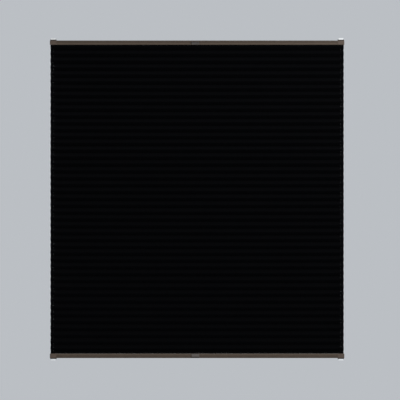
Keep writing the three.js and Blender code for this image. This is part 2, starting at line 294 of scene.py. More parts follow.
@dataclass(frozen=True)
class Finish:
    """What every finish has: the record's slot and a main colour."""

    slot: str
    colour: Rgb

    def dress(self, shader: Shader) -> None:
        """Builds the finish's nodes. Each kind of finish has its own.

        Args:
            shader: the material that it dresses.
        """
        raise NotImplementedError

    def toned(self, shader: Shader, amount: Field, tones: Span) -> bpy.types.NodeSocket:
        """The main colour times the first tone where amount is 0, and the second where it is 1."""
        return shader.mixed(amount, shade(self.colour, tones[0]), shade(self.colour, tones[1]))

    def material(self) -> bpy.types.Material:
        """The finish as a material.

        Returns:
            the new material.
        """
        shader = Shader(self.slot)
        self.dress(shader)
        return shader.material


@dataclass(frozen=True)
class CoatedMetal(Finish):
    """A thin satin coating on extruded aluminium: faint die lines along X and a fine fleck."""

    roughness: float = 0.42
    metallic: float = 0.3
    specular: float = 0.25
    lightest: float = 1.5
    groove_at: float = 638 * MM
    groove_fade: float = 0.8 * MM
    # painted shade: the share of the colour kept on the band outside the front groove
    outer_painted_shade: float = 0.74
    fleck: float = 0.24
    # lightens the edges: partly real wear, partly a painted highlight along the rail's edges
    rubbed: float = 0.16
    die_lines: Point3 = (9.0, 2600.0, 2600.0)
    grains: float = 3200.0
    clouds: Point3 = (3.0, 60.0, 60.0)
    bump: float = 0.03 * MM

    def dress(self, shader: Shader) -> None:
        """Lines run the length of the rail; the band outside the front groove is darkened by
        painted shade.

        Args:
            shader: the material that it dresses.
        """
        lines = shader.speckle(self.die_lines, 2.0)
        grain = shader.speckle(self.grains, 2.0)
        cloud = shader.speckle(self.clouds)
        fleck = (0.5 * grain + 0.2 * cloud + 0.3 * lines - 0.5) * self.fleck
        place = shader.axis("Z").size()
        band = place.ramp(self.groove_at + self.groove_fade, self.groove_at - self.groove_fade)
        # painted shade darkens the band outside the front groove; the band nearest the fabric
        # keeps the full colour
        tone = self.outer_painted_shade + (1.0 - self.outer_painted_shade) * band
        # the rubbed edges are partly real wear and partly a painted highlight along the rail's
        # edges
        amount = (tone + fleck + shader.wear(self.rubbed)) * (1.0 / self.lightest)
        tint = self.toned(shader, amount.clamped(), (0.0, self.lightest))
        rough = self.roughness + 0.12 * (lines - 0.5) + 0.06 * (cloud - 0.5)
        shader.set(Base_Color=tint, Roughness=rough)
        shader.set(Metallic=self.metallic, Specular_IOR_Level=self.specular)
        shader.relief(lines * 0.6 + grain * 0.4, self.bump)


@dataclass(frozen=True)
class MouldedPlastic(Finish):
    """Spark-eroded moulded plastic: a fine even texture and slight clouding."""

    roughness: float = 0.5
    specular: float = 0.4
    grains: float = 2400.0
    clouds: float = 90.0
    rubbed: float = 0.35
    tones: Span = (0.93, 1.4)  # shares of the colour, from its darkest to its lightest
    bump: float = 0.03 * MM

    def dress(self, shader: Shader) -> None:
        """A fine grain bumps the face, a slow cloud moves its tone, and its edges are rubbed.

        Args:
            shader: the material that it dresses.
        """
        grain, cloud = shader.speckle(self.grains, 2.0), shader.speckle(self.clouds)
        amount = (0.35 * cloud + shader.wear(self.rubbed)).clamped()
        rough = self.roughness + 0.1 * (cloud - 0.5) + 0.06 * (grain - 0.5)
        shader.set(Base_Color=self.toned(shader, amount, self.tones), Roughness=rough)
        shader.set(Specular_IOR_Level=self.specular)
        shader.relief(grain, self.bump)


@dataclass(frozen=True)
class Lacquer(Finish):
    """White lacquer on steel strip: a light orange peel under a smooth clear surface."""

    roughness: float = 0.28
    handled: Rgb = (0.82, 0.8036, 0.7626)  # what a handled patch keeps of the colour
    peel: float = 520.0
    clouds: float = 60.0
    rubbed: float = 0.6
    bump: float = 0.04 * MM

    def dress(self, shader: Shader) -> None:
        """The peel is a soft bump; patches are a little yellower, and handled edges duller.

        Args:
            shader: the material that it dresses.
        """
        peel, cloud = shader.speckle(self.peel, 1.0), shader.speckle(self.clouds)
        warm = tuple(channel * share for channel, share in zip(self.colour, self.handled))
        amount = (0.35 * cloud + shader.wear(self.rubbed)).clamped()
        rough = self.roughness + 0.08 * (cloud - 0.5)
        shader.set(Base_Color=shader.mixed(amount, self.colour, warm), Roughness=rough)
        shader.set(Coat_Roughness=0.12, Coat_Weight=0.25)
        shader.relief(peel, self.bump)


@dataclass(frozen=True)
class BareSteel(Finish):
    """Plated or drawn steel, with fine rubbed lines that dull its shine in places."""

    roughness: float = 0.28
    rub_lines: Point3 = (300.0, 4200.0, 4200.0)
    clouds: float = 240.0
    tones: Span = (0.86, 1.06)
    bump: float = 0.01 * MM

    def dress(self, shader: Shader) -> None:
        """Rubbed lines follow X, and a cloud stands for handling marks.

        Args:
            shader: the material that it dresses.
        """
        rub, cloud = shader.speckle(self.rub_lines, 2.0), shader.speckle(self.clouds)
        rough = self.roughness + 0.18 * (rub - 0.5) + 0.1 * (cloud - 0.5)
        shader.set(Base_Color=self.toned(shader, cloud, self.tones), Roughness=rough, Metallic=1.0)
        shader.relief(rub, self.bump)


@dataclass(frozen=True)
class SoftRubber(Finish):
    """Soft grey rubber, dull and faintly dusty."""

    roughness: float = 0.78
    grains: float = 1500.0
    tones: Span = (0.85, 1.12)
    bump: float = 0.05 * MM

    def dress(self, shader: Shader) -> None:
        """Dust lightens the pores of a fine grain.

        Args:
            shader: the material that it dresses.
        """
        grain = shader.speckle(self.grains, 4.0)
        rough = self.roughness + 0.2 * (grain - 0.5)
        shader.set(Base_Color=self.toned(shader, grain, self.tones), Roughness=rough)
        shader.set(Specular_IOR_Level=0.25)
        shader.relief(grain, self.bump)


@dataclass(frozen=True)
class PleatedCloth(Finish):
    """Dense woven polyester: warp and weft threads, slubs and a soft, dull nap."""

    roughness: float = 0.86
    threads_per_metre: float = 1700.0
    slant: float = 1.43
    slubs: Point3 = (60.0, 900.0, 1400.0)
    dye_clouds: float = 7.0
    tones: Span = (0.4, 1.7)
    specular: float = 0.014
    sheen: float = 0.010
    bump: float = 0.08 * MM

    def dress(self, shader: Shader) -> None:
        """Warp and weft cross in a plain weave; slubs and dye clouding keep it from being flat.

        Args:
            shader: the material that it dresses.
        """
        pitch = self.threads_per_metre
        warp = shader.threads(pitch, "X")
        weft = shader.threads((pitch, pitch, pitch * self.slant), "Z")
        weave = (warp * (1 - weft) + weft * (1 - warp)).clamped()
        slub, dye = shader.speckle(self.slubs), shader.speckle(self.dye_clouds, 4.0)
        amount = (0.5 * weave + 0.3 * slub + 0.2 * dye).ramp(0.2, 0.8)
        rough = self.roughness + 0.16 * (slub - 0.5)
        shader.set(Base_Color=self.toned(shader, amount, self.tones), Roughness=rough)
        shader.set(Specular_IOR_Level=self.specular, Sheen_Weight=self.sheen)
        shader.set(Sheen_Roughness=0.6, Sheen_Tint=(0.75, 0.8, 1.0))
        shader.relief(weave * 0.7 + slub * 0.3, self.bump)


@dataclass(frozen=True)
class BraidedCord(Finish):
    """Tight braided polyester: strands that cross each other around the cord."""

    roughness: float = 0.75
    strands_per_metre: float = 900.0
    fuzz: float = 3000.0
    tones: Span = (0.5, 1.8)
    bump: float = 0.08 * MM

    def dress(self, shader: Shader) -> None:
        """Two families of slanted strands cross, with a fine fuzz between them.

        Args:
            shader: the material that it dresses.
        """
        pitch = self.strands_per_metre
        one = shader.threads(pitch, "DIAGONAL")
        other = shader.threads((-pitch, pitch, pitch), "DIAGONAL")
        fuzz = shader.speckle(self.fuzz, 2.0)
        amount = (0.4 * one + 0.4 * other + 0.2 * fuzz).clamped()
        rough = self.roughness + 0.2 * (fuzz - 0.5)
        shader.set(Base_Color=self.toned(shader, amount, self.tones), Roughness=rough)
        shader.set(Specular_IOR_Level=0.15)
        shader.relief(amount, self.bump)


FINISHES: tuple[Finish, ...] = (
    CoatedMetal("rail_bronze", (0.070, 0.051, 0.037)),
    MouldedPlastic("cap_plastic", (0.064, 0.045, 0.033), roughness=0.46, specular=0.3),
    MouldedPlastic("shoe_plastic", (0.014, 0.012, 0.011), roughness=0.5, specular=0.25),
    MouldedPlastic("grip_plastic", (0.068, 0.058, 0.051), roughness=0.42, specular=0.3),
    MouldedPlastic("strip_plastic", (0.004, 0.004, 0.004), roughness=0.6, specular=0.1),
    Lacquer("clamp_white", (0.64, 0.655, 0.67)),
    BareSteel("screw_steel", (0.66, 0.66, 0.65), roughness=0.24),
    BareSteel("spring_steel", (0.50, 0.50, 0.50), roughness=0.34),
    SoftRubber("pad_rubber", (0.42, 0.43, 0.44)),
    PleatedCloth("pleated_fabric", (0.0007, 0.0007, 0.0008)),
    BraidedCord("cord_black", (0.0035, 0.0035, 0.0038)),
)


# ---- outlines and solids --------------------------------------------------------------------


def filleted(corners: Sequence[Corner], steps: int = 5) -> list[Point2]:
    """A closed outline with round corners.

    Args:
        corners: each corner's two coordinates and its radius, in order round the outline.
        steps: how many straight pieces make up a round corner.

    Returns:
        The outline's points, in the same order.
    """
    outline: list[Point2] = []
    for i, (u, v, radius) in enumerate(corners):
        here = Vector((u, v))
        if radius <= 0:
            outline.append((u, v))
            continue
        before = (Vector(corners[i - 1][:2]) - here).normalized()
        after = (Vector(corners[(i + 1) % len(corners)][:2]) - here).normalized()
        half = before.angle(after) / 2
        centre = here + (before + after).normalized() * (radius / math.sin(half))
        first = here + before * (radius / math.tan(half)) - centre
        last = here + after * (radius / math.tan(half)) - centre
        start = math.atan2(first.y, first.x)
        turn = (math.atan2(last.y, last.x) - start + math.pi) % (2 * math.pi) - math.pi
        for step in range(steps + 1):
            a = start + turn * step / steps
            outline.append((centre.x + radius * math.cos(a), centre.y + radius * math.sin(a)))
    return outline


def rectangle(u: Span, v: Span, radius: float | Point2 = 0.0, steps: int = 5) -> list[Point2]:
    """A rectangle's outline.

    Args:
        u: its span in the first coordinate.
        v: its span in the second coordinate.
        radius: its corners' radius, or one for the corners where v is low and one for the others.
        steps: how many straight pieces make up a round corner.

    Returns:
        the outline's points.
    """
    low, high = radius if isinstance(radius, tuple) else (radius, radius)
    corners = [(u[0], v[0], low), (u[1], v[0], low), (u[1], v[1], high), (u[0], v[1], high)]
    return filleted(corners, steps)


def circle(radius: float, steps: int, centre: Point2 = (0.0, 0.0)) -> list[Point2]:
    """A circle's outline."""
    angles = (2 * math.pi * i / steps for i in range(steps))
    return [(centre[0] + radius * math.cos(a), centre[1] + radius * math.sin(a)) for a in angles]


def about(middle: float, size: float) -> Span:
    """A span of a given size about a middle."""
    return middle - size / 2, middle + size / 2


def mid(span: Span) -> float:
    """The middle of a span."""
    return sum(span) / 2


def curve(start: Point2, aim: Point2, end: Point2, steps: int) -> list[Point2]:
    """A smooth bend.

    Args:
        start: its first point.
        aim: the point that it heads for at both of its ends.
        end: its last point.
        steps: how many straight pieces make it up.

    Returns:
        its points.
    """
    points = []
    for t in (i / steps for i in range(steps + 1)):
        shares = ((1 - t) ** 2, 2 * t * (1 - t), t * t)
        points.append(tuple(sum(c * k for c, k in zip(q, shares)) for q in zip(start, aim, end)))
    return points


def straight(start: Point3, end: Point3, steps: int) -> list[Vector]:
    """Evenly spread points of a straight line."""
    return [Vector(start).lerp(Vector(end), i / steps) for i in range(steps + 1)]


class Axis(Enum):
    """Which way an outline is drawn out, and the two axes that it is drawn in."""

    X = (2, 0, 1)
    Y = (0, 2, 1)
    Z = (0, 1, 2)

    def place(self, u: float, v: float, along: float) -> Point3:
        """A point of the outline at a distance along the axis."""
        given = (u, v, along)
        return tuple(given[i] for i in self.value)


class Form:
    """A closed solid in the making, with a workshop's cuts, joins and soft edges."""

    def __init__(
        self, name: str, points: Iterable[Point3], faces: Iterable[Sequence[int]]
    ) -> None:
        """Makes the mesh and turns its faces outwards.

        Args:
            name: the object's name.
            points: the vertices.
            faces: each face's vertex numbers.
        """
        mesh = bpy.data.meshes.new(name)
        mesh.from_pydata([tuple(p) for p in points], [], [tuple(f) for f in faces])
        self.piece = bpy.data.objects.new(name, mesh)
        bpy.context.scene.collection.objects.link(self.piece)
        self.rework(lambda bm: bmesh.ops.recalc_face_normals(bm, faces=bm.faces))

    @classmethod
    def loft(cls, name: str, rings: Sequence[Sequence[Point3]], closed: bool = False) -> "Form":
        """A skin over rings of equal length, capped at both ends unless it closes on itself.

        Args:
            name: the object's name.
            rings: the rings, each of as many points.
            closed: whether the last ring joins the first.

        Returns:
            the new form.
        """
        size = len(rings[0])
        points = [point for ring in rings for point in ring]
        count = len(rings) if closed else len(rings) - 1
        faces = []
        for i in range(count):
            near, far = i * size, (i + 1) % len(rings) * size
            for j in range(size):
                k = (j + 1) % size
                faces.append((near + j, near + k, far + k, far + j))
        if not closed:
            faces.append(tuple(range(size)))
            faces.append(tuple(range((len(rings) - 1) * size, len(rings) * size)))
        return cls(name, points, faces)

    @classmethod
    def prism(cls, name: str, axis: Axis, outline: Sequence[Point2], span: Span) -> "Form":
        """An outline drawn out along an axis."""
        return cls.loft(name, [[axis.place(u, v, at) for u, v in outline] for at in span])

    @classmethod
    def block(cls, x: Span, y: Span, z: Span) -> "Form":
        """A plain box, to join or cut with."""
        return cls.prism("block", Axis.Z, rectangle(x, y), z)

    @classmethod
    def turned(
        cls, name: str, profile: Sequence[Point2], centre: Point2, sides: int = 40
    ) -> "Form":
        """A turned piece on an upright axis, from pairs of a radius and a height."""
        rings = [[(u, v, z) for u, v in circle(radius, sides, centre)] for radius, z in profile]
        return cls.loft(name, rings)

    @classmethod
    def tube(
        cls,
        name: str,
        path: Sequence[Vector],
        radius: float,
        sides: int = 10,
        closed: bool = False,
    ) -> "Form":
        """A round tube along a path, kept from twisting.

        Args:
            name: the object's name.
            path: the points of its middle line.
            radius: its radius.
            sides: how many sides stand for its round section.
            closed: whether its end joins its start.

        Returns:
            the new form.
        """
        count = len(path)
        side = Vector((0.31, 0.22, 0.93))  # any direction that no path sets out in
        rings = []
        for i, here in enumerate(path):
            before = path[i - 1] if closed or i else here
            after = path[(i + 1) % count] if closed or i < count - 1 else here
            along = (after - before).normalized()
            side = (side - along * side.dot(along)).normalized()
            across = along.cross(side)
            rings.append([tuple(here + side * u + across * v) for u, v in circle(radius, sides)])
        return cls.loft(name, rings, closed)

    def rework(self, change: Callable[[bmesh.types.BMesh], object]) -> "Form":
        """Opens the mesh for a bmesh operation.

        Args:
            change: what is done to the open mesh.

        Returns:
            the same form.
        """
        bm = bmesh.new()
        bm.from_mesh(self.piece.data)
        change(bm)
        bm.to_mesh(self.piece.data)
        bm.free()
        return self

    def apply(self) -> "Form":
        """Applies the piece's modifiers.

        Returns:
            the same form.
        """
        graph = bpy.context.evaluated_depsgraph_get()
        made = bpy.data.meshes.new_from_object(self.piece.evaluated_get(graph))
        self.piece.modifiers.clear()
        self.piece.data = made
        return self

    def _boolean(self, other: "Form", operation: str) -> "Form":
        """One exact boolean with another form, which is used up.

        Args:
            other: the form to join, or to cut with.
            operation: the name of the boolean.

        Returns:
            the same form.
        """
        modifier = self.piece.modifiers.new("boolean", "BOOLEAN")
        modifier.operation = operation
        modifier.solver = "EXACT"
        modifier.object = other.piece
        self.apply()
        bpy.data.objects.remove(other.piece)
        return self

    def join(self, *others: "Form") -> "Form":
        """Joins other forms on.

        Args:
            *others: the forms to join, which are used up.

        Returns:
            the same form.
        """
        for other in others:
            self._boolean(other, "UNION")
        return self

    def cut(self, *others: "Form") -> "Form":
        """Cuts other forms away.

        Args:
            *others: the forms to cut with, which are used up.

        Returns:
            the same form.
        """
        for other in others:
            self._boolean(other, "DIFFERENCE")
        return self

    def drill(
        self, axis: Axis, middle: Point2, radius: float, span: Span, sides: int = 32
    ) -> "Form":
        """Cuts a round hole along an axis."""
        return self.cut(Form.prism("drill", axis, circle(radius, sides, middle), span))

    def soften(self, width: float, segments: int = 3, angle: float = 38.0) -> "Form":
        """Rounds every edge sharper than angle, in degrees, and keeps the flats flat.

        Args:
            width: how far each side of an edge the rounding reaches.
            segments: how many strips make up the rounding.
            angle: the bluntest turn that is rounded.

        Returns:
            the same form.
        """
        self.rework(lambda bm: bmesh.ops.remove_doubles(bm, verts=bm.verts, dist=WELD))
        bevel = self.piece.modifiers.new("soft edges", "BEVEL")
        bevel.width = width
        bevel.segments = segments
        bevel.angle_limit = math.radians(angle)
        bevel.use_clamp_overlap = True
        self.apply()
        self.rework(lambda bm: bmesh.ops.dissolve_degenerate(bm, edges=bm.edges, dist=WELD))
        return self.shaded()

    def shaded(self, angle: float = 40.0) -> "Form":
        """Shades the piece smooth, apart from edges sharper than angle, in degrees.

        Args:
            angle: the bluntest turn that stays sharp.

        Returns:
            the same form.
        """
        self.piece.data.shade_smooth()
        self.piece.data.set_sharp_from_angle(angle=math.radians(angle))
        weighted = self.piece.modifiers.new("flats", "WEIGHTED_NORMAL")
        weighted.keep_sharp = True
        return self.apply()

    def mirrored(self, side_x: int = 1, side_z: int = 1) -> "Form":
        """Moves the form from the upper right to another side of the blind.

        Args:
            side_x: -1 for the left side.
            side_z: -1 for the lower side.

        Returns:
            the same form.
        """
        for vertex in self.piece.data.vertices:
            vertex.co.x *= side_x
            vertex.co.z *= side_z
        if side_x * side_z < 0:
            self.rework(lambda bm: bmesh.ops.reverse_faces(bm, faces=bm.faces))
            self.shaded()
        return self


# ---- the frame ------------------------------------------------------------------------------


class Frame:
    """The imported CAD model, and what each of its nodes belongs to."""

    def __init__(self) -> None:
        """Loads the model and makes one material for each slot of the record."""
        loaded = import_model()
        self.cad_box = [list(corner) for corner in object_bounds()]
        record = loaded["record"]
        self.nodes = loaded["nodes"]
        self.joints = {joint["name"]: joint for joint in loaded["joints"]}
        bodies = record["behaviour"]["bodies"]
        self.body_of = {node: body for body, members in bodies.items() for node in members}
        self.slot_of = {entry["node"]: entry["material_slot"] for entry in record["subparts"]}
        self.materials = {finish.slot: finish.material() for finish in FINISHES}
        self.made = 0

    def stand_in(self, form: Form, node: str) -> bpy.types.Object:
        """Puts a finished form in a CAD node's place, on its body and in its slot's material.

        Args:
            form: the finished form, already where the node is.
            node: the CAD node that it stands for.

        Returns:
            The form's object.
        """
        piece = form.piece
        piece.name = f"{node}_fine"
        piece.data.materials.clear()
        piece.data.materials.append(self.materials[self.slot_of[node]])
        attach(piece, self.body_of[node])
        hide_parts(node)
        self.made += 1
        LOG.info("%s: %d faces", piece.name, len(piece.data.polygons))
        return piece


def spans(node: str) -> tuple[Span, Span, Span]:
    """A CAD node's spans in X, Y and Z at rest."""
    low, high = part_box(node)
    return (low.x, high.x), (low.y, high.y), (low.z, high.z)


# ---- one corner -----------------------------------------------------------------------------


@dataclass
class ClampCorner:
    """The clamp and the tension shoe of one corner, shaped at the upper right and mirrored."""

    frame: Frame
    name: str
    side_x: int
    side_z: int
    gap: float = 0.3 * MM
    leg: float = 2 * MM
    leg_corner: float = 3 * MM
    tongue: float = 1.6 * MM
    channel_wall: float = 1.7 * MM
    channel_front: float = 1.5 * MM
    jaw_bend: float = 2.6 * MM
    jaw_tips: Point2 = (0.3 * MM, 0.5 * MM)  # radii of the tongue's end and the hook's
    jaw_travel: float = 6 * MM
    screw_clearance: float = 0.35 * MM
    screw_shank: float = 1.45 * MM
    screw_head: Point2 = (2.8 * MM, 1.4 * MM)  # radius and height
    screw_dome: tuple[Point2, ...] = ((0, 0.7), (0.3, 0.3), (0.9, 0.08), (1.4, 0))  # mm in, down
    screw_sunk: float = 1.8 * MM
    screw_point: float = 0.6 * MM
    screw_edge: Point2 = (0.25 * MM, 0.2 * MM)  # in and up, under the head
    thread: Point2 = (0.5 * MM, 0.22 * MM)  # pitch and depth
    socket: Point2 = (1.15 * MM, 0.8 * MM)  # radius and depth
    sash_pad_corner: float = 2 * MM
    jaw_pad_corner: float = 1 * MM
    jaw_pad_grooves: int = 4
    groove: Point2 = (0.55 * MM, 0.25 * MM)  # radius, and how far out of the pad its middle is
    shoe_plate: float = 2.7 * MM
    shoe_corners: Point2 = (0.4 * MM, 2 * MM)  # radii next to the rail and outside
    shoe_nose: Point2 = (8 * MM, 1.2 * MM)  # side and corner radius
    shoe_ear: float = 1.7 * MM
    ear_depth: float = 8 * MM
    knot_seat: Point2 = (2.6 * MM, 4 * MM)  # radius and depth
    knot_strand: float = 0.45 * MM
    knot_rise: float = 2.4
    knot_steps: int = 96
    cord_hole: float = 1.5 * MM

    def build(self) -> None:
        """Builds and fits every piece of the corner."""
        makers = {
            "clamp_bracket": self.bracket,
            "clamp_jaw": self.jaw,
            "lock_screw": self.screw,
            "sash_pad": self.sash_pad,
            "jaw_pad": self.jaw_pad,
            "tension_shoe": self.shoe,
            "cord_knot": self.knot,
        }
        for piece, maker in makers.items():
            form = maker().mirrored(self.side_x, self.side_z)
            self.frame.stand_in(form, f"{self.name}_{piece}")

    @property
    def screw_at(self) -> Point2:
        """Where the locking screw stands, in X and Y."""
        x, y, _ = spans("upper_right_lock_screw")
        return mid(x), mid(y)

    @property
    def head_floor(self) -> float:
        """The underside of the bracket's head, which the screw's tip stands just above."""
        return spans("upper_right_lock_screw")[2][0] - self.gap

    def bracket(self) -> Form:
        """The head over the shoe, with its channel and screw hole, and the leg on the sash.

        Returns:
            the finished form.
        """
        x, y, z = spans("upper_right_clamp_bracket")
        head = Form.prism("bracket", Axis.X, rectangle(y, (self.head_floor, z[1])), x)
        leg = rectangle(x, (z[0], self.head_floor + self.tongue), (self.leg_corner, 0.0))
        head.join(Form.prism("leg", Axis.Y, leg, (y[1] - self.leg, y[1])))
        tongue_top = spans("upper_right_clamp_jaw")[2][1]
        channel_x = (x[0] + self.channel_wall, x[1] - self.channel_wall)
        channel_y = (y[0] + self.channel_front, y[1] + OVERCUT)
        channel_z = (tongue_top - self.tongue - self.gap, tongue_top + self.gap)
        head.cut(Form.block(channel_x, channel_y, channel_z))
        hole, sink = (r + self.screw_clearance for r in (self.screw_shank, self.screw_head[0]))
        above = z[1] + OVERCUT
        head.drill(Axis.Z, self.screw_at, hole, (self.head_floor - OVERCUT, above))
        head.drill(Axis.Z, self.screw_at, sink, (z[1] - self.screw_sunk, above), 40)
        return head.soften(0.45 * MM)

    def jaw(self) -> Form:
        """The slotted tongue that bends down behind the lip of the sash.

        Returns:
            the finished form.
        """
        x, y, z = spans("upper_right_clamp_jaw")
        thick, (tongue_tip, hook_tip) = self.tongue, self.jaw_tips
        section = [
            (y[0], z[1] - thick, tongue_tip),
            (y[1] - thick, z[1] - thick, self.jaw_bend - thick),
            (y[1] - thick, z[0], hook_tip),
            (y[1], z[0], hook_tip),
            (y[1], z[1], self.jaw_bend),
            (y[0], z[1], tongue_tip),
        ]
        jaw = Form.prism("jaw", Axis.X, filleted(section, 6), x)
        half = self.screw_shank + self.screw_clearance
        along = about(self.screw_at[1], 2 * (self.jaw_travel + half))
        slot = rectangle(about(mid(x), 2 * half), along, half * 0.999, 8)
        jaw.cut(Form.prism("slot", Axis.Z, slot, (z[1] - 2 * thick, z[1] + thick)))
        return jaw.soften(0.25 * MM)

    def screw(self) -> Form:
        """The locking screw: a domed head with a hexagon socket, on a threaded shank.

        Returns:
            the finished form.
        """
        _, _, z = spans("upper_right_lock_screw")
        shank, point, (edge, rise) = self.screw_shank, self.screw_point, self.screw_edge
        head, head_height = self.screw_head
        pitch, depth = self.thread
        neck = z[1] - head_height
        profile = [(shank - point, z[0])]
        for i in range(int((neck - z[0] - point) / pitch)):
            base = z[0] + point / 2 + i * pitch
            profile += [(shank - depth, base), (shank, base + pitch / 2)]
        profile += [(shank - depth, neck - rise), (shank, neck)]
        profile += [(head - edge, neck), (head, neck + rise)]
        profile += [(head - inset * MM, z[1] - drop * MM) for inset, drop in self.screw_dome]
        screw = Form.turned("screw", profile, self.screw_at)
        radius, sunk = self.socket
        socket = circle(radius, 6, self.screw_at)
        screw.cut(Form.prism("socket", Axis.Z, socket, (z[1] - sunk, z[1] + OVERCUT)))
        return screw.shaded(35.0)

    def sash_pad(self) -> Form:
        """The pad between the leg and the sash, with rounded corners.

        Returns:
            the finished form.
        """
        x, y, z = spans("upper_right_sash_pad")
        pad = Form.prism("pad", Axis.Y, rectangle(x, z, self.sash_pad_corner, 6), y)
        return pad.soften(0.12 * MM, 2)

    def jaw_pad(self) -> Form:
        """The small grooved pad on the jaw's inner face.

        Returns:
            the finished form.
        """
        x, y, z = spans("upper_right_jaw_pad")
        pad = Form.prism("pad", Axis.Y, rectangle(x, z, self.jaw_pad_corner), y)
        radius, out = self.groove
        across = (x[0] - OVERCUT, x[1] + OVERCUT)
        for i in range(self.jaw_pad_grooves):
            height = z[0] + (i + 0.5) * (z[1] - z[0]) / self.jaw_pad_grooves
            pad.drill(Axis.X, (y[0] - out, height), radius, across, 16)
        return pad.soften(0.1 * MM, 2)

    def shoe(self) -> Form:
        """The shoe that the cord ends in: a plate, a hollow nose and two ears on the bracket.

        Returns:
            the finished form.
        """
        x, y, z = spans("upper_right_tension_shoe")
        cord = (mid(x), mid(y))
        outer = self.head_floor - self.gap
        inner = outer - self.shoe_plate
        plate = rectangle(x, (inner, outer), self.shoe_corners)
        shoe = Form.prism("shoe", Axis.Y, plate, y)
        side, corner = self.shoe_nose
        nose = rectangle(about(cord[0], side), about(cord[1], side), corner)
        shoe.join(Form.prism("nose", Axis.Z, nose, (z[0], inner + OVERCUT)))
        head = spans("upper_right_clamp_bracket")[0]
        left, right = head[0] - self.gap, head[1] + self.gap
        for ear_x in ((left - self.shoe_ear, left), (right, right + self.shoe_ear)):
            ear_y = about(cord[1], self.ear_depth)
            shoe.join(Form.block(ear_x, ear_y, (outer - OVERCUT, z[1])))
        radius, depth = self.knot_seat
        shoe.drill(Axis.Z, cord, radius, (outer - depth, z[1] + OVERCUT))
        shoe.drill(Axis.Z, cord, self.cord_hole, (z[0] - OVERCUT, outer))
        return shoe.soften(0.3 * MM)

    def knot(self) -> Form:
        """The overhand knot that stops the cord in its shoe.

        Returns:
            the finished form.
        """
        x, y, z = spans("upper_right_cord_knot")
        middle = Vector((mid(x), mid(y), mid(z)))
        size = ((z[1] - z[0]) / 2 - self.knot_strand) / 3
        path = []
        for t in (2 * math.pi * i / self.knot_steps for i in range(self.knot_steps)):
            right = math.sin(t) + 2 * math.sin(2 * t)
            out = math.cos(t) - 2 * math.cos(2 * t)
            path.append(middle + size * Vector((right, out, -self.knot_rise * math.sin(3 * t))))
        return Form.tube("knot", path, self.knot_strand, closed=True).shaded(60.0)


# ---- one rail -------------------------------------------------------------------------------


